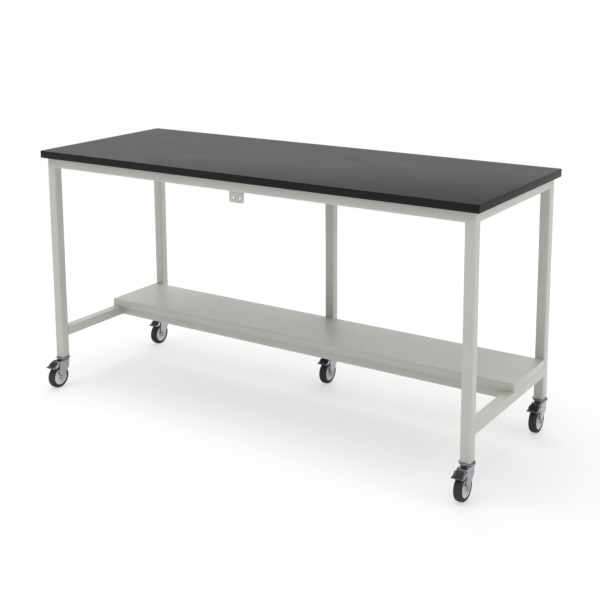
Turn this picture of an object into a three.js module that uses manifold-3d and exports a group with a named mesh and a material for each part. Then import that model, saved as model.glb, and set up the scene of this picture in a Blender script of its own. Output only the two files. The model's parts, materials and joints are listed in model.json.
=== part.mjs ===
// A mobile lab bench: a dark worktop on a welded frame of square tube, a low storage shelf along
// its back, and five swivel castors, each with a foot brake.
// Millimetres, +Z up, the floor at z = 0. +X runs to the right of the user, +Y to the back.

import * as THREE from "three";
import { mergeVertices } from "three/addons/utils/BufferGeometryUtils.js";
import Module from "manifold-3d";

const wasm = await Module();
wasm.setup();

// Driving dimensions

// Worktop
const benchHeight = 1040;
const topLength = 2000;
const topDepth = 750;
const topThickness = 30;
const topCorner = 2;
const topEase = 0.8;
const sideOverhang = 20;
const frontOverhang = 20;
const rearOverhang = 20;

// Square tube of the frame
const tubeSize = 40;
const tubeWall = 2.5;
const tubeCorner = 5;
const weldGap = 0.3;
const seatGap = 0.3;

// Low shelf, a folded sheet tray on four bearing rails
const lowerRailHeight = 223;
const shelfDepth = 300;
const shelfHeight = 33;
const shelfSheet = 1.5;
const shelfFold = 3;
const shelfReturn = 15;
const bearerSetback = 17;

// Lug plate under the middle of the front rail
const lugWidth = 65;
const lugDrop = 44;
const lugThickness = 5;
const lugSetback = 10;
const lugCorner = 7;
const lugHoleDiameter = 9;
const lugHolePitch = 31;
const lugHoleRise = 17;

// Castor wheel
const wheelDiameter = 100;
const wheelSides = 24;
const tyreWidth = 32;
const tyreTread = 12;
const tyreDepth = 13.5;
const tyreShoulder = 10;
const rimRing = 4.5;
const rimRingInset = 1;
const rimWeb = 8;
const rimFlare = 3;
const hubDiameter = 20;
const fitGap = 0.3;
const runningGap = 0.5;

// Castor axle bolt
const axleDiameter = 8;
const axleHexAcrossFlats = 13;
const axleHeadHeight = 5.5;
const axleNutHeight = 6.5;
const axleThreadEnd = 2.5;

// Castor fork, pressed from sheet
const trail = 33;
const forkSheet = 3;
const forkSideGap = 2;
const forkCrownGap = 18;
const forkCrownDiameter = 50;
const forkBend = 9;
const forkBoss = 14;
const forkWaist = 36;
const forkToe = 9;
const forkShoulder = 8;
const swivelGap = 0.4;

// Castor head with its kingpin, and the insert in the leg that takes its stem
const headDiameter = 60;
const headPlate = 6.5;
const headRace = 3.5;
const headRaceDiameter = 52;
const headRound = 2;
const kingpinDiameter = 12;
const kingpinCollar = 18;
const kingpinCollarHeight = 5;
const stemLength = 27;
const insertHeight = 32;

// Brake pedal
const pinAhead = 1;
const pinRise = 10;
const pinDiameter = 6;
const pedalSlope = 18;
const pedalPress = 10;
const pedalSheet = 2.5;
const pedalRise = 6;
const pedalLength = 54;
const pedalWidth = 44;
const pedalNeck = 18;
const pedalNeckGap = 1.2;
const pedalFlange = 9;
const pedalLip = 8.5;
const pedalBend = 5;
const pedalEar = 2.5;
const shoeWidth = 24;
const shoeLength = 12;
const shoeGap = 0.8;

// Tread pad on the pedal
const padWidth = 29;
const padLength = 27;
const padThickness = 3;
const padCorner = 4;
const padInset = 6;
const padRibs = 3;
const padGroove = 1;

// Fineness of round parts
const roundSides = 16;
const smallSides = 10;
const shoulderSteps = 3;
const bendSteps = 4;
const mergeDistance = 1e-4;

// Derived places

const lowerRailTop = lowerRailHeight + tubeSize;
const railTop = benchHeight - topThickness - seatGap;
const railBottom = railTop - tubeSize;
const frameLength = topLength - 2 * sideOverhang;
const frameFront = -topDepth / 2 + frontOverhang;
const frameBack = topDepth / 2 - rearOverhang;
const legX = frameLength / 2 - tubeSize / 2;
const frontLegY = frameFront + tubeSize / 2;
const backLegY = frameBack - tubeSize / 2;
const shelfBack = frameBack - tubeSize - weldGap;
const shelfFront = shelfBack - shelfDepth;

const wheelRadius = wheelDiameter / 2;
const axleHeight = wheelRadius * Math.cos(Math.PI / wheelSides);
const tyreTop = axleHeight + wheelRadius;
const forkInside = tyreWidth / 2 + forkSideGap;
const forkOutside = forkInside + forkSheet;
const crownBottom = tyreTop + forkCrownGap;
const crownTop = crownBottom + forkSheet;
const headBottom = crownTop + swivelGap;
const headTop = headBottom + headRace + headPlate;
const legBottom = headTop + seatGap;
const pinHeight = tyreTop + pinRise;
const pinReach = trail - pinAhead;
const crownRadius = forkCrownDiameter / 2;
const forkHeel = Math.sqrt(crownRadius ** 2 - forkOutside ** 2);
const forkFront = -trail - forkBoss - forkToe;

// Materials

function finish(color, roughness, metalness) {
  return new THREE.MeshStandardMaterial({ color, roughness, metalness });
}

const blackLaminate = () => finish(0x2b2b2c, 0.5, 0);
const greyPaint = () => finish(0xbcbcb4, 0.45, 0);
const zincPlate = () => finish(0xa9adb2, 0.35, 0.9);
const greyPlastic = () => finish(0xb4b6b6, 0.5, 0);
const blackRubber = () => finish(0x1f1f20, 0.8, 0);
const blackPlastic = () => finish(0x2a2a2b, 0.6, 0);

// Joining and cutting closed shapes

function solidOf(geometry) {
  const source = geometry.index ? geometry.toNonIndexed() : geometry;
  const bare = new THREE.BufferGeometry();
  bare.setAttribute("position", source.getAttribute("position"));
  const merged = mergeVertices(bare, mergeDistance);
  const vertProperties = merged.getAttribute("position").array;
  const triVerts = new Uint32Array(merged.index.array);
  return new wasm.Manifold(new wasm.Mesh({ numProp: 3, vertProperties, triVerts }));
}

function geometryOf(solid) {
  const mesh = solid.getMesh();
  const positions = new THREE.BufferAttribute(Float32Array.from(mesh.vertProperties), 3);
  const geometry = new THREE.BufferGeometry();
  geometry.setAttribute("position", positions);
  geometry.setIndex(new THREE.BufferAttribute(Uint32Array.from(mesh.triVerts), 1));
  geometry.computeVertexNormals();
  return geometry;
}

function joined(...geometries) {
  return geometryOf(geometries.map(solidOf).reduce((whole, next) => whole.add(next)));
}

function cut(geometry, ...tools) {
  return geometryOf(tools.map(solidOf).reduce((rest, tool) => rest.subtract(tool), solidOf(geometry)));
}

function common(...geometries) {
  return geometryOf(geometries.map(solidOf).reduce((whole, next) => whole.intersect(next)));
}

// Outlines and the solids swept from them

function withoutRepeats(points) {
  return points.filter((point, i) => point.distanceTo(points.at(i - 1)) > mergeDistance);
}

// A shape whose arcs are turned into straight steps, with no two points alike.
function stepped(shape, steps) {
  const plain = new THREE.Shape(withoutRepeats(shape.getPoints(steps / 2)));
  plain.holes = shape.holes.map((hole) => new THREE.Path(withoutRepeats(hole.getPoints(smallSides / 2))));
  return plain;
}

// The corner radius of a many-sided hole whose flats clear a bar of this radius.
function clearOf(radius, gap) {
  return (radius + gap) / Math.cos(Math.PI / smallSides);
}

function extrudeZ(shape, from, to, steps = bendSteps) {
  const plain = stepped(shape, steps);
  const geometry = new THREE.ExtrudeGeometry(plain, { depth: to - from, bevelEnabled: false });
  return geometry.translate(0, 0, from);
}

// The outline's x and y become the model's x and z.
function extrudeY(shape, from, to, steps = bendSteps) {
  return extrudeZ(shape, -to, -from, steps).rotateX(Math.PI / 2);
}

// The outline's x and y become the model's y and z.
function extrudeX(shape, from, to, steps = bendSteps) {
  return extrudeZ(shape, from, to, steps).rotateX(Math.PI / 2).rotateZ(Math.PI / 2);
}

function polygon(...points) {
  return new THREE.Shape(points.map(([x, y]) => new THREE.Vector2(x, y)));
}

function rectangle(left, bottom, right, top) {
  return polygon([left, bottom], [right, bottom], [right, top], [left, top]);
}

// Draws a rectangle with round corners, centred on the origin, into a shape or a hole.
function drawRounded(path, width, height, radius) {
  const x = width / 2 - radius;
  const y = height / 2 - radius;
  path.absarc(x, y, radius, 0, Math.PI / 2);
  path.absarc(-x, y, radius, Math.PI / 2, Math.PI);
  path.absarc(-x, -y, radius, Math.PI, 1.5 * Math.PI);
  path.absarc(x, -y, radius, 1.5 * Math.PI, 2 * Math.PI);
  path.closePath();
  return path;
}

function roundHole(x, y, radius) {
  return new THREE.Path().absarc(x, y, radius, 0, 2 * Math.PI, true);
}

// A profile of [radius, height] points turned about Z, with a flat side facing +Y and -Y.
function turned(profile, sides) {
  const points = profile.map(([radius, height]) => new THREE.Vector2(radius, height));
  return new THREE.LatheGeometry(points, sides, Math.PI / sides).rotateX(Math.PI / 2);
}

// A closed profile of [radius, x] points turned about X, with a flat side facing down.
function turnedAboutX(profile, sides) {
  const loop = [...profile, profile[0]].reverse();
  const points = loop.map(([radius, x]) => new THREE.Vector2(radius, x));
  return new THREE.LatheGeometry(points, sides, Math.PI / sides).rotateZ(-Math.PI / 2);
}

function barAlongX(radius, from, to, sides) {
  const bar = new THREE.CylinderGeometry(radius, radius, to - from, sides);
  return bar.rotateZ(-Math.PI / 2).translate((from + to) / 2, 0, 0);
}

function piece(name, geometry, material) {
  const mesh = new THREE.Mesh(geometry, material);
  mesh.name = name;
  return mesh;
}

// Worktop

function worktop() {
  const flat = 2 * topEase;
  const outline = drawRounded(new THREE.Shape(), topLength - flat, topDepth - flat, topCorner);
  const geometry = new THREE.ExtrudeGeometry(stepped(outline, bendSteps), {
    depth: topThickness - flat,
    bevelSize: topEase,
    bevelThickness: topEase,
    bevelSegments: 1,
  });
  geometry.translate(0, 0, benchHeight - topThickness + topEase);
  return piece("worktop", geometry, blackLaminate());
}

// Frame tubes

function tubeSection() {
  const section = drawRounded(new THREE.Shape(), tubeSize, tubeSize, tubeCorner);
  const bore = tubeSize - 2 * tubeWall;
  const points = drawRounded(new THREE.Path(), bore, bore, tubeCorner - tubeWall).getPoints(1);
  section.holes.push(new THREE.Path(withoutRepeats(points).reverse()));
  return section;
}

function upright(name, x, y, bottom, top) {
  const geometry = extrudeZ(tubeSection(), bottom, top).translate(x, y, 0);
  return piece(name, geometry, greyPaint());
}

function railAlongX(name, left, right, y, z) {
  const geometry = extrudeX(tubeSection(), left + weldGap, right - weldGap).translate(0, y, z);
  return piece(name, geometry, greyPaint());
}

function railAlongY(name, front, back, x, z) {
  const geometry = extrudeY(tubeSection(), front + weldGap, back - weldGap).translate(x, 0, z);
  return piece(name, geometry, greyPaint());
}

function frame() {
  const group = new THREE.Group();
  const upper = railTop - tubeSize / 2;
  const lower = lowerRailHeight + tubeSize / 2;
  const frontInside = frontLegY + tubeSize / 2;
  const backInside = backLegY - tubeSize / 2;
  const sideInside = legX - tubeSize / 2;
  const frontBearerY = shelfFront + bearerSetback + tubeSize / 2;
  const rearBearerY = shelfBack - tubeSize / 2;
  group.add(
    upright("leg_front_left", -legX, frontLegY, legBottom, railTop),
    upright("leg_front_right", legX, frontLegY, legBottom, railTop),
    upright("leg_rear_left", -legX, backLegY, legBottom, railTop),
    upright("leg_rear_right", legX, backLegY, legBottom, railTop),
    upright("leg_rear_middle", 0, backLegY, legBottom, railBottom - weldGap),
    railAlongX("top_rail_front", -sideInside, sideInside, frontLegY, upper),
    railAlongX("top_rail_rear", -sideInside, sideInside, backLegY, upper),
    railAlongY("top_rail_left", frontInside, backInside, -legX, upper),
    railAlongY("top_rail_right", frontInside, backInside, legX, upper),
    railAlongY("top_rail_middle", frontInside, backInside, 0, upper),
    railAlongY("lower_rail_left", frontInside, backInside, -legX, lower),
    railAlongY("lower_rail_right", frontInside, backInside, legX, lower),
    railAlongX("shelf_bearer_front", -sideInside, sideInside, frontBearerY, lower),
    railAlongX("shelf_bearer_rear", -sideInside, sideInside, rearBearerY, lower),
  );
  return group;
}

// Shelf tray: its long edges fold down and in again, its ends fold down

function shelf() {
  const bottom = lowerRailTop + seatGap;
  const top = lowerRailTop + shelfHeight;
  const inner = shelfFold - shelfSheet;
  const section = new THREE.Shape();
  section.moveTo(shelfFront + shelfReturn, bottom);
  section.lineTo(shelfFront, bottom);
  section.absarc(shelfFront + shelfFold, top - shelfFold, shelfFold, Math.PI, Math.PI / 2, true);
  section.absarc(shelfBack - shelfFold, top - shelfFold, shelfFold, Math.PI / 2, 0, true);
  section.lineTo(shelfBack, bottom);
  section.lineTo(shelfBack - shelfReturn, bottom);
  section.lineTo(shelfBack - shelfReturn, bottom + shelfSheet);
  section.lineTo(shelfBack - shelfSheet, bottom + shelfSheet);
  section.absarc(shelfBack - shelfFold, top - shelfFold, inner, 0, Math.PI / 2);
  section.absarc(shelfFront + shelfFold, top - shelfFold, inner, Math.PI / 2, Math.PI);
  section.lineTo(shelfFront + shelfSheet, bottom + shelfSheet);
  section.lineTo(shelfFront + shelfReturn, bottom + shelfSheet);
  section.closePath();
  const end = new THREE.Shape();
  end.moveTo(shelfFront, bottom);
  end.absarc(shelfFront + shelfFold, top - shelfFold, shelfFold, Math.PI, Math.PI / 2, true);
  end.absarc(shelfBack - shelfFold, top - shelfFold, shelfFold, Math.PI / 2, 0, true);
  end.lineTo(shelfBack, bottom);
  end.closePath();
  const half = frameLength / 2;
  const geometry = joined(
    extrudeX(section, -half, half),
    extrudeX(end, -half, -half + shelfSheet),
    extrudeX(end, half - shelfSheet, half),
  );
  return piece("shelf", geometry, greyPaint());
}

// Lug plate with two bolt holes, standing under the front rail

function lugPlate() {
  const top = railBottom - weldGap;
  const bottom = railBottom - lugDrop;
  const x = lugWidth / 2;
  const outline = new THREE.Shape();
  outline.moveTo(x, top);
  outline.lineTo(-x, top);
  outline.absarc(-x + lugCorner, bottom + lugCorner, lugCorner, Math.PI, 1.5 * Math.PI);
  outline.absarc(x - lugCorner, bottom + lugCorner, lugCorner, 1.5 * Math.PI, 2 * Math.PI);
  outline.closePath();
  for (const side of [-1, 1]) {
    outline.holes.push(roundHole((side * lugHolePitch) / 2, bottom + lugHoleRise, lugHoleDiameter / 2));
  }
  const front = frameFront + lugSetback;
  return piece("lug_plate", extrudeY(outline, front, front + lugThickness), greyPaint());
}

// Castor wheel

function tyre() {
  const seat = wheelRadius - tyreDepth + fitGap;
  const half = tyreWidth / 2;
  const rise = wheelRadius - tyreShoulder;
  const run = (tyreWidth - tyreTread) / 2;
  const shoulder = [];
  for (let i = 0; i <= shoulderSteps; i++) {
    const angle = ((Math.PI / 2) * i) / shoulderSteps;
    shoulder.push([rise + tyreShoulder * Math.sin(angle), half - run + run * Math.cos(angle)]);
  }
  const right = [[seat, half - rimRingInset], ...shoulder];
  const left = right.map(([radius, x]) => [radius, -x]).reverse();
  return turnedAboutX([...right, ...left], wheelSides);
}

function rim() {
  const outer = wheelRadius - tyreDepth;
  const ring = outer - rimRing;
  const ringHalf = tyreWidth / 2 - rimRingInset;
  const hub = hubDiameter / 2;
  const right = [
    [clearOf(axleDiameter / 2, fitGap), forkInside - runningGap],
    [hub, forkInside - runningGap],
    [hub + rimFlare, rimWeb / 2],
    [ring - rimFlare, rimWeb / 2],
    [ring, ringHalf],
    [outer, ringHalf],
  ];
  const left = right.map(([radius, x]) => [radius, -x]).reverse();
  return turnedAboutX([...right, ...left], wheelSides);
}

function axle() {
  const hex = axleHexAcrossFlats / 2 / Math.cos(Math.PI / 6);
  const face = forkOutside + fitGap;
  const head = barAlongX(hex, -face - axleHeadHeight, -face, 6);
  const nut = barAlongX(hex, face, face + axleNutHeight, 6);
  const threadEnd = face + axleNutHeight + axleThreadEnd;
  const shank = barAlongX(axleDiameter / 2, -face - fitGap, threadEnd, smallSides);
  return joined(shank, head, nut);
}

// Castor fork: a folded U of sheet, trimmed to its side view and its plan

function forkSection() {
  const bottom = axleHeight - forkBoss;
  const inner = forkBend - forkSheet;
  const x = forkOutside - forkBend;
  const z = crownTop - forkBend;
  const section = new THREE.Shape();
  section.moveTo(forkOutside, bottom);
  section.absarc(x, z, forkBend, 0, Math.PI / 2);
  section.absarc(-x, z, forkBend, Math.PI / 2, Math.PI);
  section.lineTo(-forkOutside, bottom);
  section.lineTo(-forkInside, bottom);
  section.absarc(-x, z, inner, Math.PI, Math.PI / 2, true);
  section.absarc(x, z, inner, Math.PI / 2, 0, true);
  section.lineTo(forkInside, bottom);
  section.closePath();
  return section;
}

function forkSideView() {
  const toe = pinReach + forkToe;
  const waist = axleHeight + forkWaist;
  const view = new THREE.Shape();
  view.moveTo(crownRadius, crownTop);
  view.lineTo(crownRadius, waist + forkShoulder);
  view.lineTo(forkHeel, waist + forkShoulder);
  view.quadraticCurveTo(forkHeel, waist, forkHeel - forkShoulder, waist - forkShoulder);
  view.lineTo(-trail + forkBoss, axleHeight);
  view.absarc(-trail, axleHeight, forkBoss, 0, Math.PI, true);
  view.quadraticCurveTo(-trail - forkBoss, waist, -toe, pinHeight);
  view.absarc(-toe + forkShoulder, pinHeight, forkShoulder, Math.PI, Math.PI / 2, true);
  view.lineTo(-crownRadius, pinHeight + forkShoulder);
  view.lineTo(-crownRadius, crownTop);
  view.closePath();
  return view;
}

function forkPlan() {
  const disc = new THREE.Shape().absarc(0, 0, crownRadius, 0, 2 * Math.PI);
  disc.holes.push(roundHole(0, 0, clearOf(kingpinDiameter / 2, swivelGap)));
  const bottom = 0;
  const legs = [-1, 1].map((side) => {
    const [left, right] = [side * (forkInside - fitGap), side * forkOutside].sort((a, b) => a - b);
    return extrudeZ(rectangle(left, forkFront, right, forkHeel), bottom, crownTop);
  });
  return joined(extrudeZ(disc, bottom, crownTop, roundSides), ...legs);
}

function fork() {
  const folded = extrudeY(forkSection(), forkFront, crownRadius);
  const side = extrudeX(forkSideView(), -forkOutside, forkOutside);
  const axleHole = barAlongX(clearOf(axleDiameter / 2, fitGap), -tyreWidth, tyreWidth, smallSides);
  const pinHole = barAlongX(clearOf(pinDiameter / 2, fitGap), -tyreWidth, tyreWidth, smallSides);
  axleHole.translate(0, -trail, axleHeight);
  pinHole.translate(0, -pinReach, pinHeight);
  return cut(common(folded, side, forkPlan()), axleHole, pinHole);
}

// Castor head: a round plate over the swivel race, with its kingpin through the fork crown
// and its stem up into the leg

function head() {
  const pin = kingpinDiameter / 2;
  const collarTop = crownBottom - swivelGap;
  const collarBottom = collarTop - kingpinCollarHeight;
  const plateBottom = headBottom + headRace;
  const plate = headDiameter / 2;
  return turned(
    [
      [0, collarBottom],
      [kingpinCollar / 2, collarBottom],
      [kingpinCollar / 2, collarTop],
      [pin, collarTop],
      [pin, headBottom],
      [headRaceDiameter / 2, headBottom],
      [headRaceDiameter / 2, plateBottom],
      [plate - headRound, plateBottom],
      [plate, plateBottom + headRound],
      [plate, headTop - headRound],
      [plate - headRound, headTop],
      [pin, headTop],
      [pin, headTop + stemLength],
      [0, headTop + stemLength],
    ],
    roundSides,
  );
}

// Square insert that fills the end of the leg and takes the stem

function insert() {
  const size = tubeSize - 2 * tubeWall - 2 * fitGap;
  const outline = drawRounded(new THREE.Shape(), size, size, tubeCorner - tubeWall);
  outline.holes.push(roundHole(0, 0, clearOf(kingpinDiameter / 2, fitGap)));
  return extrudeZ(outline, legBottom, legBottom + insertHeight);
}

// Brake pedal, in its own frame: the pivot pin at the origin, the pedal forward along -Y

function pedalSheetView() {
  const top = pedalRise + pedalSheet;
  const bend = pedalLength - pedalBend;
  const inner = pedalBend - pedalSheet;
  const view = new THREE.Shape();
  view.moveTo(-pinDiameter / 2, top);
  view.lineTo(-bend, top);
  view.absarc(-bend, top - pedalBend, pedalBend, Math.PI / 2, Math.PI);
  view.lineTo(-pedalLength, top - pedalLip);
  view.lineTo(-pedalLength + pedalSheet, top - pedalLip);
  view.absarc(-bend, top - pedalBend, inner, Math.PI, Math.PI / 2, true);
  view.lineTo(-pinDiameter / 2, pedalRise);
  view.closePath();
  return view;
}

function pedalPlan() {
  const neck = forkInside - pedalNeckGap;
  const half = pedalWidth / 2;
  return polygon(
    [neck, 0],
    [-neck, 0],
    [-neck, -pedalNeck],
    [-half, -pedalNeck],
    [-half, -pedalLength],
    [half, -pedalLength],
    [half, -pedalNeck],
    [neck, -pedalNeck],
  );
}

function pedalFlangeView() {
  const low = pedalRise - pedalFlange;
  const tip = pedalRise + pedalSheet - pedalLip;
  const top = pedalRise + pedalSheet / 2;
  const bend = pedalLength - pedalBend;
  return polygon(
    [-pedalNeck, top],
    [-bend, top],
    [-bend, tip],
    [-pedalNeck - pedalSheet, low],
    [-pedalNeck, low],
  );
}

function pedalEarView() {
  const eye = pinDiameter;
  const top = pedalRise + pedalSheet / 2;
  const view = new THREE.Shape();
  view.moveTo(-pedalNeck, top);
  view.lineTo(-eye / 2, top);
  view.absarc(0, 0, eye, Math.PI / 2, -Math.PI / 2, true);
  view.closePath();
  return view;
}

// The brake shoe's underside is round the tyre when the pedal is fully down.
function brakeShoe() {
  const turn = THREE.MathUtils.degToRad(pedalSlope + pedalPress);
  const ahead = trail - pinReach;
  const below = pinHeight - axleHeight;
  const wheelY = -ahead * Math.cos(turn) - below * Math.sin(turn);
  const wheelZ = ahead * Math.sin(turn) - below * Math.cos(turn);
  const reach = wheelRadius + shoeGap;
  const front = wheelY - shoeLength / 2;
  const back = wheelY + shoeLength / 2;
  const block = rectangle(front, wheelZ, back, pedalRise + pedalSheet / 2);
  const wheel = barAlongX(reach / Math.cos(Math.PI / wheelSides), -shoeWidth, shoeWidth, wheelSides);
  wheel.rotateX(Math.PI / wheelSides).translate(0, wheelY, wheelZ);
  return cut(extrudeX(block, -shoeWidth / 2, shoeWidth / 2), wheel);
}

function pedal() {
  const half = pedalWidth / 2;
  const neck = forkInside - pedalNeckGap;
  const pin = forkOutside - fitGap;
  const ears = pedalEarView();
  const sides = pedalFlangeView();
  const plan = extrudeZ(pedalPlan(), -wheelRadius, wheelRadius);
  const plate = common(extrudeX(pedalSheetView(), -half, half), plan);
  return joined(
    plate,
    extrudeX(sides, half - pedalSheet, half),
    extrudeX(sides, -half, -half + pedalSheet),
    extrudeX(ears, neck - pedalEar, neck),
    extrudeX(ears, -neck, -neck + pedalEar),
    barAlongX(pinDiameter / 2, -pin, pin, smallSides),
    brakeShoe(),
  );
}

// Ribbed tread pad on the pedal plate

function pad() {
  const base = pedalRise + pedalSheet + seatGap;
  const front = -pedalLength + pedalBend + padInset - padCorner;
  const middle = front + padLength / 2;
  const outline = drawRounded(new THREE.Shape(), padWidth, padLength, padCorner);
  const block = extrudeZ(outline, base, base + padThickness).translate(0, middle, 0);
  const pitch = padLength / (padRibs + 1);
  const grooves = [];
  for (let i = 1; i <= padRibs; i++) {
    const y = front + i * pitch;
    const floor = base + padThickness - padGroove;
    const groove = rectangle(y - padGroove / 2, floor, y + padGroove / 2, base + 2 * padThickness);
    grooves.push(extrudeX(groove, -padWidth, padWidth));
  }
  return cut(block, ...grooves);
}

// One castor under the leg at x, y

function castor(name, x, y) {
  const group = new THREE.Group();
  const wheel = new THREE.Group();
  const brake = new THREE.Group();
  wheel.position.set(0, -trail, axleHeight);
  wheel.add(
    piece(`${name}_axle`, axle(), zincPlate()),
    piece(`${name}_rim`, rim(), greyPlastic()),
    piece(`${name}_tyre`, tyre(), blackRubber()),
  );
  brake.position.set(0, -pinReach, pinHeight);
  brake.rotation.x = THREE.MathUtils.degToRad(pedalSlope);
  brake.add(piece(`${name}_pedal`, pedal(), zincPlate()), piece(`${name}_pad`, pad(), blackPlastic()));
  group.add(
    piece(`${name}_insert`, insert(), blackPlastic()),
    piece(`${name}_head`, head(), zincPlate()),
    piece(`${name}_fork`, fork(), zincPlate()),
    wheel,
    brake,
  );
  group.position.set(x, y, 0);
  return group;
}

// The bench, with the middle of its box over the origin

function bench() {
  const group = new THREE.Group();
  group.add(
    worktop(),
    frame(),
    shelf(),
    lugPlate(),
    castor("castor_front_left", -legX, frontLegY),
    castor("castor_front_right", legX, frontLegY),
    castor("castor_rear_left", -legX, backLegY),
    castor("castor_rear_middle", 0, backLegY),
    castor("castor_rear_right", legX, backLegY),
  );
  const box = new THREE.Box3().setFromObject(group, true);
  group.position.y = -(box.min.y + box.max.y) / 2;
  return new THREE.Group().add(group);
}

export default bench();
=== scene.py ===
"""Looks of the mobile lab bench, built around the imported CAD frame. Metres, +Z up, floor at z = 0."""

import json
import math

import bmesh
import bpy
from mathutils import Matrix, Vector

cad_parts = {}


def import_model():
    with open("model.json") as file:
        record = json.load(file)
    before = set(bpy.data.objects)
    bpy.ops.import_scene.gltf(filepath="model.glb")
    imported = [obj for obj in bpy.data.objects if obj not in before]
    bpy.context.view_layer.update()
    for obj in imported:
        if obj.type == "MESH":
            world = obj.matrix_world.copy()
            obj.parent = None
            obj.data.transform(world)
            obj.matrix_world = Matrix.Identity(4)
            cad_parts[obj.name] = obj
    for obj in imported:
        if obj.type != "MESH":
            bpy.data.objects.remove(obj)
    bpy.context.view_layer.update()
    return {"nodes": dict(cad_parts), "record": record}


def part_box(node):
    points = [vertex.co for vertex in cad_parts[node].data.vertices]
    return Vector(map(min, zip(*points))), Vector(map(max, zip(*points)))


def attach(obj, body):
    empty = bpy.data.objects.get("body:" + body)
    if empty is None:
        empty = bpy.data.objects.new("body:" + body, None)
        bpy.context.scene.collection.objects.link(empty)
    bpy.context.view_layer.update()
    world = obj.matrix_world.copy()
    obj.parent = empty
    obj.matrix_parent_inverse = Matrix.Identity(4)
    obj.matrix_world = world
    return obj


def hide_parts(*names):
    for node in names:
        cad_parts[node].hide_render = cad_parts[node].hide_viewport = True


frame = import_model()

MM = 0.001
AXES = "XYZ"
CASTORS = ("front_left", "front_right", "rear_left", "rear_middle", "rear_right")

# Edges flatter than the first angle are blended, and edges sharper than the second are bevelled.
# The angles are in degrees, and points closer than the distance, in metres, become one.
SMOOTH_ANGLE = 32
BEVEL_ANGLE = 38
MERGE_DISTANCE = 1e-7

# Tube sizes in metres, shared by the tubes and their welds
TUBE_CORNER = 0.005
TUBE_WALL = 0.0025
TUBE_EASE = 0.0004

# Castor sizes in millimetres, with the pin and axle where the solids have them. The wheel is round
# here and many-sided in the solids, so its radius is a little smaller.
SOLID_WHEEL_R = 50.0
WHEEL_R = 49.55
AXLE_Z = 49.572
TRAIL = 33.0
FORK_IN = 18.0
FORK_OUT = 21.0
CROWN_GAP = 18.0
CROWN_SHEET = 3.0
FORK_BOSS = 14
SWIVEL_GAP = 0.4
FIT_GAP = 0.3
HEAD_HEIGHT = 10.0
CROWN_BOTTOM = AXLE_Z + SOLID_WHEEL_R + CROWN_GAP
CROWN_TOP = CROWN_BOTTOM + CROWN_SHEET
HEAD_BOTTOM = CROWN_TOP + SWIVEL_GAP
HEAD_TOP = HEAD_BOTTOM + HEAD_HEIGHT
PIN_Y = -32.0
PIN_Z = AXLE_Z + 60

# The tyre's inner edge and the pedal's form, which follow the photograph and not the solids
TYRE_SEAT = 34.5
PEDAL_SLOPE = math.radians(39)
PEDAL_PRESS = math.radians(10)
PEDAL_HALF = 22.0
PEDAL_REAR = -1.7
PEDAL_FRONT = -33.7
PEDAL_TOP = 16.0
PEDAL_SHEET = 2.5


# Materials

class Paint:
    """A Principled material under construction, with short calls for its texture nodes."""

    # Most values of a noise texture lie between these two.
    NOISE_LOW = 0.3
    NOISE_HIGH = 0.7

    def __init__(self, name, color, roughness, metallic=0.0, specular=0.5):
        self.material = bpy.data.materials.new(name)
        self.material.use_nodes = True
        self.tree = self.material.node_tree
        self.shader = self.tree.nodes["Principled BSDF"]
        self.color = color
        self.shader.inputs["Base Color"].default_value = (*color, 1)
        self.shader.inputs["Roughness"].default_value = roughness
        self.shader.inputs["Metallic"].default_value = metallic
        self.shader.inputs["Specular IOR Level"].default_value = specular
        self.place = self.tree.nodes.new("ShaderNodeTexCoord").outputs["Object"]

    def link(self, source, target):
        self.tree.links.new(source, target)

    def noise(self, scale, detail, stretch=(1, 1, 1)):
        mapping = self.tree.nodes.new("ShaderNodeMapping")
        mapping.inputs["Scale"].default_value = stretch
        self.link(self.place, mapping.inputs["Vector"])
        node = self.tree.nodes.new("ShaderNodeTexNoise")
        node.inputs["Scale"].default_value = scale
        node.inputs["Detail"].default_value = detail
        self.link(mapping.outputs["Vector"], node.inputs["Vector"])
        return node.outputs["Fac"]

    def shade(self, source, amount):
        """Varies the base colour by a share of itself."""
        node = self.tree.nodes.new("ShaderNodeValToRGB")
        dark, light = node.color_ramp.elements
        dark.position = self.NOISE_LOW
        dark.color = (*[c * (1 - amount) for c in self.color], 1)
        light.position = self.NOISE_HIGH
        light.color = (*[c * (1 + amount) for c in self.color], 1)
        self.link(source, node.inputs["Fac"])
        self.link(node.outputs["Color"], self.shader.inputs["Base Color"])

    def rough(self, source, low, high):
        """Varies the roughness between two values."""
        node = self.tree.nodes.new("ShaderNodeMapRange")
        node.inputs["From Min"].default_value = self.NOISE_LOW
        node.inputs["From Max"].default_value = self.NOISE_HIGH
        node.inputs["To Min"].default_value = low
        node.inputs["To Max"].default_value = high
        self.link(source, node.inputs["Value"])
        self.link(node.outputs["Result"], self.shader.inputs["Roughness"])

    def bump(self, source, strength, distance):
        node = self.tree.nodes.new("ShaderNodeBump")
        node.inputs["Strength"].default_value = strength
        node.inputs["Distance"].default_value = distance
        self.link(source, node.inputs["Height"])
        self.link(node.outputs["Normal"], self.shader.inputs["Normal"])


def laminate():
    """Near-black laminate: a fine pressed grain and faint cloudy sheen."""
    paint = Paint("worktop_laminate", (0.0112, 0.0112, 0.0116), 0.38, specular=0.115)
    paint.shade(paint.noise(scale=900, detail=4), amount=0.22)
    paint.rough(paint.noise(scale=7, detail=3), low=0.37, high=0.40)
    paint.bump(paint.noise(scale=2200, detail=2), strength=0.25, distance=0.0002)
    return paint.material


def powder_coat():
    """Light warm grey powder coat with orange peel."""
    paint = Paint("frame_paint", (0.53, 0.53, 0.485), 0.3)
    paint.shade(paint.noise(scale=14, detail=2), amount=0.015)
    paint.rough(paint.noise(scale=9, detail=2), low=0.29, high=0.32)
    paint.bump(paint.noise(scale=650, detail=2), strength=0.10, distance=0.0003)
    return paint.material


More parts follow.
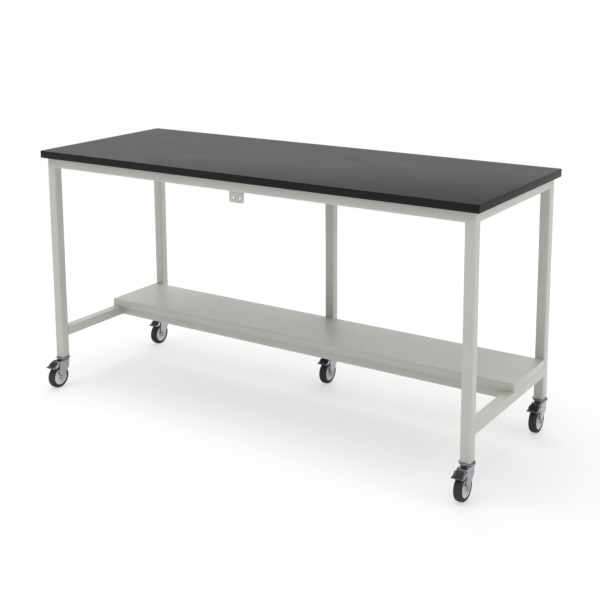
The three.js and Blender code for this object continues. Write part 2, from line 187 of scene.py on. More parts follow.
def weld_paint():
    """The same coat where it lies over a weld bead, a little duller."""
    paint = Paint("weld_paint", (0.50, 0.50, 0.46), 0.5)
    paint.shade(paint.noise(scale=220, detail=3), amount=0.05)
    paint.bump(paint.noise(scale=900, detail=2), strength=0.3, distance=0.0004)
    return paint.material


def zinc(name, color):
    """Bright zinc plate: cool grey metal with soft spangle and faint draw marks."""
    paint = Paint(name, color, 0.34, metallic=1.0)
    paint.shade(paint.noise(scale=70, detail=4), amount=0.07)
    paint.rough(paint.noise(scale=160, detail=3, stretch=(1, 1, 0.15)), low=0.27, high=0.42)
    paint.bump(paint.noise(scale=700, detail=2, stretch=(1, 1, 0.1)), strength=0.06, distance=0.0003)
    return paint.material


def steel_ring():
    """Darker rolled steel of the swivel head."""
    paint = Paint("head_zinc", (0.20, 0.215, 0.235), 0.4, metallic=0.9)
    paint.shade(paint.noise(scale=90, detail=4), amount=0.08)
    paint.rough(paint.noise(scale=200, detail=3), low=0.34, high=0.48)
    paint.bump(paint.noise(scale=800, detail=2), strength=0.06, distance=0.0003)
    return paint.material


def painted_shade_zinc():
    """Duller, darker zinc of the pedal's tread and toe and of the lock leaf: the dark tone is painted
    shade and painted dark reflection.
    """
    paint = Paint("pedal_zinc_painted_shade", (0.09, 0.094, 0.10), 0.42, metallic=0.85)
    paint.shade(paint.noise(scale=120, detail=4), amount=0.12)
    paint.rough(paint.noise(scale=240, detail=3), low=0.36, high=0.52)
    paint.bump(paint.noise(scale=900, detail=2), strength=0.08, distance=0.0003)
    return paint.material


def rim_plastic():
    """Light grey moulded plastic of the wheel centres."""
    paint = Paint("rim_plastic", (0.67, 0.68, 0.68), 0.45)
    paint.shade(paint.noise(scale=45, detail=3), amount=0.03)
    paint.rough(paint.noise(scale=120, detail=2), low=0.40, high=0.52)
    paint.bump(paint.noise(scale=1400, detail=2), strength=0.10, distance=0.0003)
    return paint.material


def rubber():
    """Black tyre rubber, a little dusty."""
    paint = Paint("tyre_rubber", (0.022, 0.022, 0.023), 0.62, specular=0.4)
    paint.shade(paint.noise(scale=130, detail=4), amount=0.18)
    paint.rough(paint.noise(scale=90, detail=3), low=0.55, high=0.72)
    paint.bump(paint.noise(scale=1600, detail=2), strength=0.2, distance=0.0003)
    return paint.material


def pad_plastic():
    """Black plastic of the pedals' tread pads."""
    paint = Paint("pad_plastic", (0.016, 0.016, 0.017), 0.5, specular=0.4)
    paint.shade(paint.noise(scale=260, detail=3), amount=0.2)
    paint.rough(paint.noise(scale=140, detail=2), low=0.44, high=0.58)
    paint.bump(paint.noise(scale=1900, detail=2), strength=0.2, distance=0.0003)
    return paint.material


LAMINATE = laminate()
COAT = powder_coat()
WELD = weld_paint()
ZINC = zinc("castor_zinc", (0.44, 0.465, 0.505))
# A lighter copy of the castor zinc: a painted highlight for the pedal's side faces.
PAINTED_HIGHLIGHT_ZINC = zinc("flange_zinc_painted_highlight", (0.66, 0.68, 0.71))
RING = steel_ring()
# A darker copy of the zinc: painted shade and painted dark reflection for the pedal's tread and toe and
# the lock leaf.
PAINTED_SHADE_ZINC = painted_shade_zinc()
RIM = rim_plastic()
RUBBER = rubber()
PAD = pad_plastic()

SLOT_MATERIALS = {
    "worktop_laminate": LAMINATE,
    "frame_paint": COAT,
    "castor_zinc": ZINC,
    "rim_plastic": RIM,
    "tyre_rubber": RUBBER,
    "pad_plastic": PAD,
}
SLOT_OF = {entry["node"]: entry["material_slot"] for entry in frame["record"]["subparts"]}
for node, item in frame["nodes"].items():
    for place in item.material_slots:
        place.material = SLOT_MATERIALS[SLOT_OF[node]]


# Outlines and solids made of them: a made form is a pair of vertices and faces

def arc(cx, cy, radius, start, end, steps):
    """Points on an arc, angles in degrees."""
    angles = [math.radians(start + (end - start) * i / steps) for i in range(steps + 1)]
    return [(cx + radius * math.cos(a), cy + radius * math.sin(a)) for a in angles]


def circle(cx, cy, radius, sides):
    """Points round a whole circle."""
    return arc(cx, cy, radius, 0, 360 - 360 / sides, sides - 1)


def curve(start, corner, end, steps):
    """Points on a curve that leaves the start and reaches the end along lines through the corner."""
    points = []
    for i in range(steps + 1):
        t = i / steps
        first, second, third = (1 - t) ** 2, 2 * t * (1 - t), t * t
        ends = zip(start, corner, end)
        points.append(tuple(first * a + second * b + third * c for a, b, c in ends))
    return points


def rounded(width, height, radius, steps=6):
    """A rectangle about the origin with round corners."""
    x = width / 2 - radius
    y = height / 2 - radius
    return (arc(x, y, radius, 0, 90, steps) + arc(-x, y, radius, 90, 180, steps)
            + arc(-x, -y, radius, 180, 270, steps) + arc(x, -y, radius, 270, 360, steps))


def softened(line, reach, steps=5):
    """A line of points with its inner corners turned into short curves."""
    soft = [line[0]]
    for before, corner, after in zip(line, line[1:], line[2:]):
        middle = Vector(corner)
        start = middle + (Vector(before) - middle).normalized() * reach
        end = middle + (Vector(after) - middle).normalized() * reach
        soft += curve(start, corner, end, steps)
    return soft + [line[-1]]


def strip(line, thickness):
    """The outline of a strip: a line and the same line moved to its left by the thickness."""
    line = [Vector(point) for point in line]
    along = [(b - a).normalized() for a, b in zip(line, line[1:])]
    under = []
    for i, point in enumerate(line):
        before, after = along[max(i - 1, 0)], along[min(i, len(along) - 1)]
        middle = (before + after).normalized()
        under.append(point + Vector((-middle.y, middle.x)) * (thickness / middle.dot(after)))
    return [tuple(point) for point in line + under[::-1]]


def spread(point, axis, along):
    """A point of an outline, with the third coordinate along the axis."""
    a, b = point
    return {"X": (along, a, b), "Y": (a, along, b), "Z": (a, b, along)}[axis]


def prism(outline, axis, start, end):
    """An outline swept along an axis."""
    count = len(outline)
    verts = [spread(point, axis, along) for along in (start, end) for point in outline]
    faces = [tuple(range(count)), tuple(range(2 * count - 1, count - 1, -1))]
    for i in range(count):
        j = (i + 1) % count
        faces.append((i, j, count + j, count + i))
    return verts, faces


def band(rings, closed=True):
    """Rings of as many points each, joined one to the next; a closed band joins the last to the first."""
    count = len(rings[0])
    verts = [point for ring in rings for point in ring]
    faces = []
    for k in range(len(rings) if closed else len(rings) - 1):
        near, far = k * count, (k + 1) % len(rings) * count
        for i in range(count):
            j = (i + 1) % count
            faces.append((near + i, near + j, far + j, far + i))
    return verts, faces


def lathe(profile, sides, axis):
    """A closed loop of (radius, along) points turned about an axis."""
    turns = [2 * math.pi * i / sides for i in range(sides)]
    return band([
        [spread((radius * math.cos(a), radius * math.sin(a)), axis, along) for a in turns]
        for radius, along in profile
    ])


def merged(parts):
    """Several made forms as one."""
    verts, faces = [], []
    for part_verts, part_faces in parts:
        offset = len(verts)
        verts += part_verts
        faces += [tuple(i + offset for i in face) for face in part_faces]
    return verts, faces


def in_metres(made, shift=(0, 0, 0)):
    """A form made in millimetres, moved by a shift in millimetres and turned into metres."""
    verts, faces = made
    return [tuple((c + s) * MM for c, s in zip(point, shift)) for point in verts], faces


# Meshes and objects

def tidied(mesh, angle=SMOOTH_ANGLE):
    """The mesh with double points joined, faces turned outwards and soft edges blended."""
    work = bmesh.new()
    work.from_mesh(mesh)
    bmesh.ops.remove_doubles(work, verts=work.verts, dist=MERGE_DISTANCE)
    bmesh.ops.recalc_face_normals(work, faces=work.faces)
    work.to_mesh(mesh)
    work.free()
    mesh.polygons.foreach_set("use_smooth", [True] * len(mesh.polygons))
    mesh.set_sharp_from_angle(angle=math.radians(angle))
    return mesh


def mesh_of(name, made, angle=SMOOTH_ANGLE):
    """A mesh of a form made in metres."""
    verts, faces = made
    mesh = bpy.data.meshes.new(name)
    mesh.from_pydata([tuple(point) for point in verts], [], faces)
    return tidied(mesh, angle)


def added(name, data):
    """A new object in the scene."""
    item = bpy.data.objects.new(name, data)
    bpy.context.scene.collection.objects.link(item)
    return item


def put(name, mesh, material, body, location=(0, 0, 0), stands_for=()):
    """A piece of the visual on its body; a mesh that already has materials keeps them."""
    item = added(name, mesh)
    item.location = location
    if not mesh.materials:
        mesh.materials.append(material)
    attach(item, body)
    if stands_for:
        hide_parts(*stands_for)
    return item


def solid(name, made, *steps):
    """A mesh of a form in millimetres, worked through steps.

    A step is ("JOIN", made), ("CUT", made), ("COMMON", made) or ("BEVEL", width, segments).
    """
    operations = {"JOIN": "UNION", "CUT": "DIFFERENCE", "COMMON": "INTERSECT"}
    item = added(name, mesh_of(name, in_metres(made)))
    spare = [item]
    for kind, *values in steps:
        if kind == "BEVEL":
            width, segments = values
            change = item.modifiers.new("bevel", "BEVEL")
            change.width = width * MM
            change.segments = segments
            change.limit_method = "ANGLE"
            change.angle_limit = math.radians(BEVEL_ANGLE)
            continue
        tool = added("tool", mesh_of("tool", in_metres(values[0])))
        spare.append(tool)
        change = item.modifiers.new("boolean", "BOOLEAN")
        change.operation = operations[kind]
        change.solver = "EXACT"
        change.object = tool
    bpy.context.view_layer.update()
    graph = bpy.context.evaluated_depsgraph_get()
    mesh = bpy.data.meshes.new_from_object(item.evaluated_get(graph))
    mesh.name = name
    for old in spare:
        bpy.data.objects.remove(old)
    mesh.materials.clear()
    return tidied(mesh)


def solid_made(made, *steps):
    """The same work as solid(), given back as a form in millimetres for use as a tool."""
    mesh = solid("tool_shape", made, *steps)
    verts = [tuple(c / MM for c in v.co) for v in mesh.vertices]
    faces = [tuple(p.vertices) for p in mesh.polygons]
    bpy.data.meshes.remove(mesh)
    return verts, faces


def box_in_mm(node):
    """Opposite corners of a CAD node's box, in millimetres."""
    low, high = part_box(node)
    return [c / MM for c in low], [c / MM for c in high]


# Frame tubes, worktop, shelf and lug plate

TUBE_KINDS = ("leg_", "top_rail", "lower_rail", "shelf_bearer")
TUBES = [name for name in frame["nodes"] if name.startswith(TUBE_KINDS)]


def tube(node):
    """Square tube with round corners and a lightly broken edge at each end."""
    low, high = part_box(node)
    size = [high[i] - low[i] for i in range(3)]
    along = size.index(max(size))
    across = [i for i in range(3) if i != along]
    centre = [(low[i] + high[i]) / 2 for i in across]
    outside = size[across[0]]
    edge = (outside - 2 * TUBE_EASE, TUBE_CORNER - TUBE_EASE)
    bore = (outside - 2 * TUBE_WALL, TUBE_CORNER - TUBE_WALL)
    loops = (
        (outside, TUBE_CORNER, low[along] + TUBE_EASE),
        (outside, TUBE_CORNER, high[along] - TUBE_EASE),
        (*edge, high[along]),
        (*bore, high[along]),
        (*bore, low[along]),
        (*edge, low[along]),
    )
    rings = []
    for width, radius, place in loops:
        outline = rounded(width, width, radius, steps=8)
        outline = [(a + centre[0], b + centre[1]) for a, b in outline]
        rings.append([spread(point, AXES[along], place) for point in outline])
    name = node + "_coat"
    put(name, mesh_of(name, band(rings)), COAT, "frame", stands_for=(node,))


def board():
    """The worktop, with small round corners and broken edges."""
    low, high = box_in_mm("worktop")
    corner, ease = 2.8, 0.9
    outline = rounded(high[0] - low[0], high[1] - low[1], corner)
    centre = [(a + b) / 2 for a, b in zip(low, high)]
    outline = [(x + centre[0], y + centre[1]) for x, y in outline]
    mesh = solid("worktop_board", prism(outline, "Z", low[2], high[2]), ("BEVEL", ease, 3))
    put("worktop_board", mesh, LAMINATE, "frame", stands_for=("worktop",))


def shelf():
    """Folded sheet tray: long edges folded down and in, ends folded down."""
    low, high = box_in_mm("shelf")
    half, front, back, bottom, top = high[0], low[1], high[1], low[2], high[2]
    fold, sheet, lap, ease = 3.0, 1.5, 15.0, 0.45
    bend_steps = 6
    end_overlap = 0.05
    lap_top = bottom + sheet
    front_bend = (front + fold, top - fold)
    back_bend = (back - fold, top - fold)
    outside = arc(*front_bend, fold, 180, 90, bend_steps) + arc(*back_bend, fold, 90, 0, bend_steps)
    section = [(front + lap, bottom), (front, bottom)] + outside
    section += [(back, bottom), (back - lap, bottom), (back - lap, lap_top), (back - sheet, lap_top)]
    section += arc(*back_bend, fold - sheet, 0, 90, bend_steps)
    section += arc(*front_bend, fold - sheet, 90, 180, bend_steps)
    section += [(front + sheet, lap_top), (front + lap, lap_top)]
    cap = [(front, bottom)] + outside + [(back, bottom)]
    mesh = solid(
        "shelf_tray",
        prism(section, "X", -half + end_overlap, half - end_overlap),
        ("JOIN", prism(cap, "X", -half, -half + sheet)),
        ("JOIN", prism(cap, "X", half - sheet, half)),
        ("BEVEL", ease, 2),
    )
    put("shelf_tray", mesh, COAT, "frame", stands_for=("shelf",))


def lug():
    """Plate under the front rail with two bolt holes and round lower corners."""
    low, high = box_in_mm("lug_plate")
    half, near, far, bottom, top = high[0], low[1], high[1], low[2], high[2]
    corner, ease = 7.0, 0.5
    hole_radius, hole_x, hole_rise = 5.0, 15.5, 17
    past = 2
    outline = [(half, top), (-half, top)]
    outline += arc(-half + corner, bottom + corner, corner, 180, 270, 8)
    outline += arc(half - corner, bottom + corner, corner, 270, 360, 8)
    holes = []
    for x in (-hole_x, hole_x):
        edge = circle(x, bottom + hole_rise, hole_radius, sides=48)
        holes.append(("CUT", prism(edge, "Y", near - past, far + past)))
    mesh = solid("lug_drilled", prism(outline, "Y", near, far), *holes, ("BEVEL", ease, 2))
    put("lug_drilled", mesh, COAT, "frame", stands_for=("lug_plate",))


for node in TUBES:
    tube(node)
board()
shelf()
lug()


# Welds where the tubes meet, in metres

OUTER_RAILS = ("top_rail_front", "top_rail_rear", "top_rail_left", "top_rail_right",
               "lower_rail_left", "lower_rail_right")


def bead(start, end, radius=0.0022):
    """A rippled bead along a straight corner, half sunk in it and smaller at its ends."""
    spacing, ripple, sides = 0.0011, 0.0044, 8
    swell, wave = 0.92, 0.10
    end_share, growth = 0.35, 0.3
    start, end = Vector(start), Vector(end)
    length = (end - start).length
    steps = max(2, int(length / spacing))
    ahead = (end - start).normalized()
    side = ahead.orthogonal().normalized()
    other = ahead.cross(side)
    rings = []
    for i in range(steps + 1):
        share = swell + wave * math.cos(2 * math.pi * length * i / steps / ripple)
        share *= min(1.0, end_share + growth * min(i, steps - i))
        outline = circle(0, 0, radius * share, sides)
        middle = start.lerp(end, i / steps)
        rings.append([middle + side * a + other * b for a, b in outline])
    verts, faces = band(rings, closed=False)
    faces.append(tuple(range(sides)))
    faces.append(tuple(range(steps * sides, (steps + 1) * sides)))
    return verts, faces


def rail_lie(low, high):
    """The index of the axis that a rail runs along, and of the level one across it."""
    return (0, 1) if high[0] - low[0] > high[1] - low[1] else (1, 0)


def rail_welds():
    """Beads under and inside each rail's ends; the flush outer faces are ground smooth."""
    made = []
    plate_inset, plate_bead = 0.001, 0.0018
    for node in TUBES:
        if node.startswith("leg_"):
            continue
        low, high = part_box(node)
        along, across = rail_lie(low, high)
        sides = [low[across], high[across]]
        if node in OUTER_RAILS:
            sides = [high[across] if high[across] < 0 else low[across]]
        levels = [low[2], high[2]] if node.startswith("lower") else [low[2]]
        for end in (low[along], high[along]):
            lines = [((side, low[2] + TUBE_CORNER), (side, high[2] - TUBE_CORNER)) for side in sides]
            lines += [((low[across] + TUBE_CORNER, z), (high[across] - TUBE_CORNER, z)) for z in levels]
            made += [bead(*[spread(point, AXES[along], end) for point in line]) for line in lines]
    low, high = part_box("lug_plate")
    for y in (low[1], high[1]):
        ends = [(x, y, high[2]) for x in (low[0] + plate_inset, high[0] - plate_inset)]
        made.append(bead(*ends, plate_bead))
    put("weld_beads", mesh_of("weld_beads", merged(made), angle=60), WELD, "frame")


def ground_welds():
    """The grooves at the legs' round corners, filled and ground flush with the rails' outer faces."""
    made = []
    for node in OUTER_RAILS:
        low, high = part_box(node)
        along, across = rail_lie(low, high)
        if high[across] < 0:
            middle, side, turn = low[across] + TUBE_CORNER, 180, 90
        else:
            middle, side, turn = high[across] - TUBE_CORNER, 0, -90
        outline = arc(middle, low[2] + TUBE_CORNER, TUBE_CORNER, side, side + turn, 8)
        outline += arc(middle, high[2] - TUBE_CORNER, TUBE_CORNER, side - turn, side, 8)
        for end, step in ((low[along], -1), (high[along], 1)):
            made.append(prism(outline, AXES[along], end - step * TUBE_EASE, end + step * TUBE_CORNER))
    put("ground_welds", mesh_of("ground_welds", merged(made)), COAT, "frame")


rail_welds()
ground_welds()


# Castors, in millimetres: each mesh is made once about the leg's axis and used under all five legs

def wheel_mesh(name, profile, angle):
    """A profile of (radius, x) points turned about the wheel's axle."""
    return mesh_of(name, in_metres(lathe(profile, sides=72, axis="X"), (0, -TRAIL, AXLE_Z)), angle)


def tyre_mesh():
    """Tyre with a chamfered seat, round shoulders and a nearly flat tread."""
    half, shoulder, tread, crown = 16.0, 10, 6.0, 0.05
    seat = [(TYRE_SEAT + 0.35, half - 0.9), (TYRE_SEAT + 1.3, half - 0.3)]
    side = [(38.0, half)]
    bend = arc(tread, 0, shoulder, 0, 90, 9)[:-1]
    right = seat + side + [(WHEEL_R - shoulder + y, x) for x, y in bend]
    right += [(WHEEL_R - crown, tread), (WHEEL_R, tread / 2), (WHEEL_R, 0.0)]
    left = [(radius, -x) for radius, x in reversed(right[:-1])]
    return wheel_mesh("tyre", right + left, angle=40)


def rim_mesh():
    """Moulded wheel centre: the hub, a dished web with a stepped ring, and a raised lip."""
    hub = [(4.2, 17.4), (9.4, 17.4), (10.0, 16.8), (10.6, 11.0), (12.0, 9.4)]
    web = [(14.0, 8.8), (19.5, 8.8)]
    ring = [(20.1, 9.3), (22.5, 9.3)]
    dish = [(23.1, 8.9), (26.0, 9.4), (28.6, 11.0)]
    lip = [(29.5, 14.0), (30.2, 14.7), (33.6, 15.0), (34.4, 14.4)]
    right = hub + web + ring + dish + lip
    left = [(radius, -x) for radius, x in reversed(right)]
    return wheel_mesh("rim", right + left, angle=34)


def hexagon(half_flats, inner, outer):
    """A hexagon bar along X with its corners turned off at the outer end."""
    sides = 36
    face_share, edge_drop, corner_drop = 0.985, 0.25, 0.55
    outward = 1 if outer > inner else -1
    turns = [2 * math.pi * i / sides for i in range(sides)]
    edges = [half_flats / math.cos((turn % (math.pi / 3)) - math.pi / 6) for turn in turns]
    drops = [outward * (edge_drop + (edge - half_flats) * corner_drop) for edge in edges]

    def ring(places, radii):
        return [(x, r * math.cos(turn), r * math.sin(turn)) for x, r, turn in zip(places, radii, turns)]

    return band([
        ring([inner] * sides, edges),
        ring([outer - drop for drop in drops], edges),
        ring([outer] * sides, [half_flats * face_share] * sides),
        ring([outer] * sides, [0.0] * sides),
        ring([inner] * sides, [0.0] * sides),
    ])


def axle_mesh():
    """Bolt, washers, nut and the turned end of the thread."""
    half_flats, nut_reach, head_reach, thread_reach = 13 / 2, 4.5, 4, 5.5
    shank_radius, thread_radius, thread_ease = 3.95, 3.2, 0.8
    bore, flat, rim, washer, sunk, lap = 4.0, 7.6, 7.9, 0.9, 0.25, 0.05
    face = FORK_OUT + FIT_GAP
    end = face + thread_reach
    shank = [(0, -face), (shank_radius, -face), (shank_radius, end - thread_ease)]
    shank += [(thread_radius, end), (0, end)]
    near = [(bore, face - sunk), (flat, face - sunk), (rim, face)]
    near += [(flat, face + washer), (bore, face + washer)]
    far = [(radius, -x) for radius, x in near]
    parts = [
        lathe(shank, sides=32, axis="X"),
        lathe(near, sides=40, axis="X"),
        lathe(far, sides=40, axis="X"),
        hexagon(half_flats, face + washer - lap, face + nut_reach),
        hexagon(half_flats, -face - washer + lap, -face - head_reach),
    ]
    return mesh_of("axle", in_metres(merged(parts), (0, -TRAIL, AXLE_Z)), angle=30)


def fork_side_view(crown, heel, toe):
    """Outline of the fork from the side, from its crown down round the axle's boss."""
    shoulder, waist, past = 8, AXLE_Z + 36, 1
    boss_front = -TRAIL - FORK_BOSS
    step = (heel, waist + shoulder)
    view = [(crown, CROWN_TOP + past), (crown, waist + shoulder), step]
    view += curve(step, (heel, waist), (heel - shoulder, waist - shoulder), 10)[1:]
    view += arc(-TRAIL, AXLE_Z, FORK_BOSS, 0, -180, 24)
    view += curve((boss_front, AXLE_Z), (boss_front, waist), (toe, PIN_Z), 10)[1:]
    view += arc(toe + shoulder, PIN_Z, shoulder, 180, 90, 8)[1:]
    return view + [(-crown, PIN_Z + shoulder), (-crown, CROWN_TOP + past)]


def fork_mesh():
    """Folded sheet: a U section trimmed to its side view and plan, edges rounded as pressed."""
    bend, crown, toe_reach, ease = 9.0, 25.0, 9, 0.55
    axle_hole, pin_hole, kingpin_hole = 4.3, 3.3, 6.5
    overlap, past, drill_past = 0.3, 1, 5
    inner = bend - CROWN_SHEET
    low = AXLE_Z - FORK_BOSS
    heel = math.sqrt(crown ** 2 - FORK_OUT ** 2)
    toe = PIN_Y - toe_reach
    front = toe - past
    x, z = FORK_OUT - bend, CROWN_TOP - bend
    section = [(FORK_OUT, low)] + arc(x, z, bend, 0, 90, 10) + arc(-x, z, bend, 90, 180, 10)
    section += [(-FORK_OUT, low), (-FORK_IN, low)] + arc(-x, z, inner, 180, 90, 10)
    section += arc(x, z, inner, 90, 0, 10) + [(FORK_IN, low)]
    side = fork_side_view(crown, heel, toe)
    height = (low - past, CROWN_TOP + 2 * past)
    legs = []
    for a, b in ((FORK_IN - overlap, FORK_OUT + past), (-FORK_OUT - past, -FORK_IN + overlap)):
        legs.append(("JOIN", prism([(a, front), (b, front), (b, heel), (a, heel)], "Z", *height)))
    plan = solid_made(prism(circle(0, 0, crown, sides=60), "Z", *height), *legs)
    kingpin = circle(0, 0, kingpin_hole, sides=36)
    width = (-30, 30)
    return solid(
        "fork",
        prism(section, "Y", front, crown),
        ("COMMON", prism(side, "X", *width)),
        ("COMMON", plan),
        ("CUT", prism(circle(-TRAIL, AXLE_Z, axle_hole, sides=36), "X", *width)),
        ("CUT", prism(circle(PIN_Y, PIN_Z, pin_hole, sides=36), "X", *width)),
        ("CUT", prism(kingpin, "Z", CROWN_BOTTOM - drill_past, CROWN_TOP + drill_past)),
        ("BEVEL", ease, 2),
    )


def head_mesh():
    """Round head: rolled plate over the swivel race, kingpin below and stem above."""
    pin, collar, race, plate, roll = 6.0, 9.0, 24.0, 29.0, 2.0
    collar_height, race_height, stem_length = 5, 3, 27
    collar_ease, race_ease, stem_ease = 0.4, 0.6, 1
    collar_top = CROWN_BOTTOM - SWIVEL_GAP
    collar_bottom = collar_top - collar_height
    plate_bottom = HEAD_BOTTOM + race_height
    stem_top = HEAD_TOP + stem_length
    profile = [(0, collar_bottom), (collar - collar_ease, collar_bottom)]
    profile += [(collar, collar_bottom + collar_ease), (collar, collar_top), (pin, collar_top)]
    profile += [(pin, HEAD_BOTTOM), (race - race_ease, HEAD_BOTTOM)]
    profile += [(race, HEAD_BOTTOM + race_ease), (race, plate_bottom)]
    profile += arc(plate - roll, plate_bottom + roll, roll, -90, 0, 6)
    profile += arc(plate - roll, HEAD_TOP - roll, roll, 0, 90, 6)
    profile += [(pin, HEAD_TOP), (pin, stem_top - stem_ease)]
    profile += [(pin - stem_ease, stem_top), (0, stem_top)]
    return mesh_of("head", in_metres(lathe(profile, sides=64, axis="Z")), angle=40)


def shoe_view(level):
    """The brake shoe from the side, its underside round the tyre when the pedal is fully down."""
    reach, front, back, steps = 50.9, -27.0, -15.0, 8
    turn = PEDAL_SLOPE + PEDAL_PRESS
    ahead, below = TRAIL + PIN_Y, PIN_Z - AXLE_Z
    wheel_y = -ahead * math.cos(turn) - below * math.sin(turn)
    wheel_z = ahead * math.sin(turn) - below * math.cos(turn)
    view = [(front, level)]
    for i in range(steps + 1):
        y = front + (back - front) * i / steps
        view.append((y, wheel_z + math.sqrt(reach ** 2 - (y - wheel_y) ** 2)))
    return view + [(back, level)]


def pedal_mesh():
    """Pressed pedal about its pin: tread, turned-up toe, side flanges, ears, pin and brake shoe."""
    top, half, front, rear, sheet = PEDAL_TOP, PEDAL_HALF, PEDAL_FRONT, PEDAL_REAR, PEDAL_SHEET
    neck_gap, neck_length, corner = 1.2, 11, 3
    toe_length, toe_bend, toe_fold = 14, math.radians(33), 2.4
    flange_depth, flange_corner, flange_step, flange_slant = 9.2, 1.8, 0.1, 1
    eye, ear_length, pin_radius, shoe_half = 6, 17, 2.95, 12
    ease, inset, past, rise = 0.4, 0.02, 3, 40
    middle = top - sheet / 2
    neck = FORK_IN - neck_gap
    shoulder = rear - neck_length
    toe = (front - toe_length * math.cos(toe_bend), top + toe_length * math.sin(toe_bend))
    plate = strip(softened([(rear, top), (front, top), toe], toe_fold), sheet)
    end = toe[0] - past
    plan = [(neck, rear), (-neck, rear), (-neck, shoulder)]
    plan += arc(-half + corner, shoulder - corner, corner, 90, 180, 5) + [(-half, end), (half, end)]
    plan += arc(half - corner, shoulder - corner, corner, 0, 90, 5) + [(neck, shoulder)]
    flange_low = top - flange_depth
    flange_bend = flange_low + flange_corner
    flange_rear = shoulder - corner
    flange = [(flange_rear, middle), (front, middle), (front, flange_bend - flange_step)]
    flange += arc(front + flange_corner, flange_bend, flange_corner, 180, 270, 4)[1:]
    flange += [(flange_rear - flange_slant, flange_low)]
    ear = [(rear - ear_length, middle), (rear, middle)] + arc(0, 0, eye, 0, -135, 14)
    pin_half = FORK_OUT - FIT_GAP
    mesh = solid(
        "pedal",
        prism(plate, "X", -half, half),
        ("COMMON", prism(plan, "Z", 0, rise)),
        ("JOIN", prism(flange, "X", half - sheet, half - inset)),
        ("JOIN", prism(flange, "X", -half + inset, -half + sheet)),
        ("JOIN", prism(ear, "X", neck - sheet, neck - inset)),
        ("JOIN", prism(ear, "X", -neck + inset, -neck + sheet)),
        ("JOIN", prism(circle(0, 0, pin_radius, sides=24), "X", -pin_half, pin_half)),
        ("JOIN", prism(shoe_view(middle), "X", -shoe_half, shoe_half)),
        ("BEVEL", ease, 2),
    )
    # Sideways faces take the lighter zinc, a painted highlight. The tread, toe and other faces take the
    # darker zinc, painted shade and painted dark reflection. Both stand for one zinc.
    mesh.materials.append(PAINTED_HIGHLIGHT_ZINC)
    mesh.materials.append(PAINTED_SHADE_ZINC)
    for face in mesh.polygons:
        sideways = abs(face.normal.x) > 0.8
        face.material_index = 0 if sideways else 1
    return tipped(mesh)


def pad_mesh():
    """Ribbed tread pad with rounded corners."""
    width, length, thick, corner, ease = 29, 21.0, 2.0, 4, 0.35
    ribs, depth, floor_half, mouth_half, groove_half = 6, 0.8, 0.6, 0.9, 11.5
    inset, past = 1.5, 1
    bottom = PEDAL_TOP + FIT_GAP
    top = bottom + thick
    front = PEDAL_FRONT + inset
    outline = [(x, y + front + length / 2) for x, y in rounded(width, length, corner)]
    grooves = []
    for i in range(1, ribs):
        y = front + length * i / ribs
        section = [(y - floor_half, top - depth), (y + floor_half, top - depth)]
        section += [(y + mouth_half, top + past), (y - mouth_half, top + past)]
        grooves.append(("CUT", prism(section, "X", -groove_half, groove_half)))
    return tipped(solid("pad", prism(outline, "Z", bottom, top), *grooves, ("BEVEL", ease, 2)))


def leaf_mesh():
    """Lock leaf under the crown: a strip folded down behind the pedal, clear of the tyre."""
    half, sheet, fold, ease = 13.5, 1.3, 2.5, 0.3
    crown_gap, tyre_gap, rear, front = 0.05, 0.6, -11, -23
    top = CROWN_BOTTOM - crown_gap
    bottom = AXLE_Z + SOLID_WHEEL_R + tyre_gap
    outline = strip(softened([(rear, top), (front, top), (front, bottom)], fold), sheet)
    return solid("leaf", prism(outline, "X", -half, half), ("BEVEL", ease, 2))


def tipped(mesh):
    """From the pedal's own frame to the castor's."""
    pin = Matrix.Translation((0, PIN_Y * MM, PIN_Z * MM))
    mesh.transform(pin @ Matrix.Rotation(PEDAL_SLOPE, 4, "X"))
    return mesh


def castors():
    """Every mesh under each leg, on the body that carries it."""
    made = (
        ("tyre", tyre_mesh(), RUBBER, "wheel_body", "tyre_rubber"),
        ("rim", rim_mesh(), RIM, "wheel_body", "rim_plastic"),
        ("axle", axle_mesh(), ZINC, "fork_body", "castor_zinc"),
        ("fork", fork_mesh(), ZINC, "fork_body", "castor_zinc"),
        ("head", head_mesh(), RING, "frame", "castor_zinc"),
        ("pedal", pedal_mesh(), PAINTED_HIGHLIGHT_ZINC, "brake_body", "castor_zinc"),
        ("pad", pad_mesh(), PAD, "brake_body", "pad_plastic"),
    )
    leaf = leaf_mesh()
    for place in CASTORS:
        castor = "castor_" + place
        low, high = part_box("leg_" + place)
        centre = ((low[0] + high[0]) / 2, (low[1] + high[1]) / 2, 0)
        for kind, mesh, material, body, slot in made:
            rides = body if body == "frame" else castor + "_" + body
            node = castor + "_" + kind
            put(node + "_look", mesh, material, rides, centre, (node,))
        # The lock leaf fills the dark gap under the crown. Its dark zinc is painted shade there.
        put(castor + "_leaf", leaf, PAINTED_SHADE_ZINC, castor + "_fork_body", centre)


castors()


# Floor, world, lights and camera

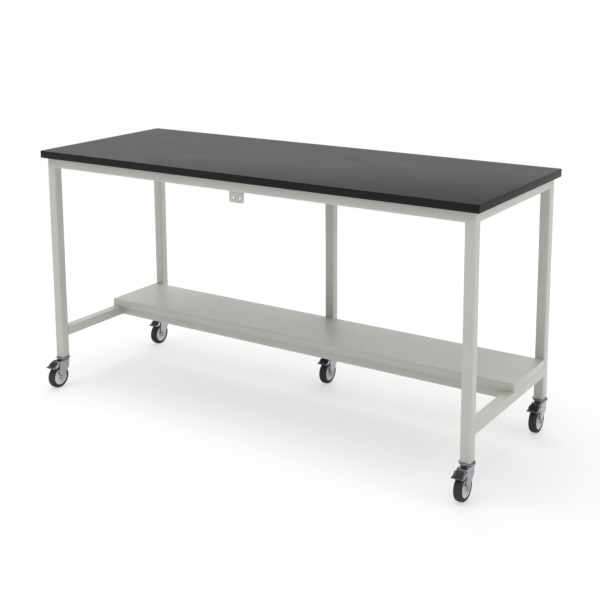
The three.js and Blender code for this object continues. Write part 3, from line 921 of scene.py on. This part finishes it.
def floor():
    """White floor that takes the bench's shadow and fades into the backdrop further out."""
    reach, fade_from, fade_to, glow_share = 60.0, 1.6, 4.5, 0.52
    corners = [(-reach, -reach, 0), (reach, -reach, 0), (reach, reach, 0), (-reach, reach, 0)]
    mesh = bpy.data.meshes.new("floor")
    mesh.from_pydata(corners, [], [(0, 1, 2, 3)])
    item = added("floor", mesh)
    material = bpy.data.materials.new("floor")
    material.use_nodes = True
    tree = material.node_tree
    tree.nodes.clear()
    output = tree.nodes.new("ShaderNodeOutputMaterial")
    matt = tree.nodes.new("ShaderNodeBsdfDiffuse")
    matt.inputs["Color"].default_value = (0.93, 0.93, 0.93, 1)
    glow = tree.nodes.new("ShaderNodeEmission")
    glow.inputs["Color"].default_value = (0.99, 0.99, 0.99, 1)
    place = tree.nodes.new("ShaderNodeTexCoord")
    length = tree.nodes.new("ShaderNodeVectorMath")
    length.operation = "LENGTH"
    fade = tree.nodes.new("ShaderNodeMapRange")
    fade.interpolation_type = "SMOOTHSTEP"
    fade.inputs["From Min"].default_value = fade_from
    fade.inputs["From Max"].default_value = fade_to
    mix = tree.nodes.new("ShaderNodeMixShader")
    path = tree.nodes.new("ShaderNodeLightPath")
    lift = tree.nodes.new("ShaderNodeMath")
    lift.operation = "MULTIPLY"
    lift.inputs[1].default_value = glow_share
    either = tree.nodes.new("ShaderNodeMath")
    either.operation = "MAXIMUM"
    tree.links.new(place.outputs["Object"], length.inputs[0])
    tree.links.new(length.outputs["Value"], fade.inputs["Value"])
    tree.links.new(path.outputs["Is Camera Ray"], lift.inputs[0])
    tree.links.new(fade.outputs["Result"], either.inputs[0])
    tree.links.new(lift.outputs["Value"], either.inputs[1])
    tree.links.new(either.outputs["Value"], mix.inputs["Fac"])
    tree.links.new(matt.outputs["BSDF"], mix.inputs[1])
    tree.links.new(glow.outputs["Emission"], mix.inputs[2])
    tree.links.new(mix.outputs["Shader"], output.inputs["Surface"])
    mesh.materials.append(material)


def world():
    """White to the camera, a little darker in reflections and softest as a light."""
    seen, mirrored, lighting = 0.99, 0.8, 0.536
    made = bpy.data.worlds.new("studio")
    bpy.context.scene.world = made
    made.use_nodes = True
    tree = made.node_tree
    tree.nodes.clear()
    path = tree.nodes.new("ShaderNodeLightPath")

    def white(strength):
        node = tree.nodes.new("ShaderNodeBackground")
        node.inputs["Color"].default_value = (1, 1, 1, 1)
        node.inputs["Strength"].default_value = strength
        return node.outputs["Background"]

    def either(ray, without, with_it):
        mix = tree.nodes.new("ShaderNodeMixShader")
        tree.links.new(path.outputs[ray], mix.inputs["Fac"])
        tree.links.new(without, mix.inputs[1])
        tree.links.new(with_it, mix.inputs[2])
        return mix.outputs["Shader"]

    unseen = either("Is Glossy Ray", white(lighting), white(mirrored))
    output = tree.nodes.new("ShaderNodeOutputWorld")
    tree.links.new(either("Is Camera Ray", unseen, white(seen)), output.inputs["Surface"])


def lamp(name, power, size, location, target, mirrored=True):
    """A soft rectangular light that the camera can't see."""
    data = bpy.data.lights.new(name, "AREA")
    data.shape = "RECTANGLE"
    data.size, data.size_y = size
    data.energy = power
    item = added(name, data)
    item.location = location
    item.rotation_euler = (Vector(target) - Vector(location)).to_track_quat("-Z", "Y").to_euler()
    item.visible_camera = False
    item.visible_glossy = mirrored


def camera():
    """The photograph's view."""
    data = bpy.data.cameras.new("camera")
    data.sensor_width = 36.0
    data.lens = 66.5126
    data.shift_y = -0.23027
    data.clip_end = 200.0
    item = added("camera", data)
    item.location = (2.44041, -3.58887, 1.81440)
    item.rotation_euler = [math.radians(a) for a in (79.78266, 0.29694, 33.33132)]
    bpy.context.scene.camera = item


floor()
world()
lamp("overhead", power=125, size=(5.0, 3.5), location=(-0.6, -1.0, 4.2), target=(-0.6, -0.8, 0))
lamp("right", power=170, size=(4.0, 4.0), location=(9.0, 1.0, 5.0), target=(0.5, 0, 0.5))
lamp("back", power=66, size=(4.0, 1.4), location=(-0.9, 2.9, 2.6), target=(-0.2, 0.2, 0.3), mirrored=False)
camera()
bpy.context.scene.view_settings.view_transform = "Standard"

bpy.context.view_layer.update()
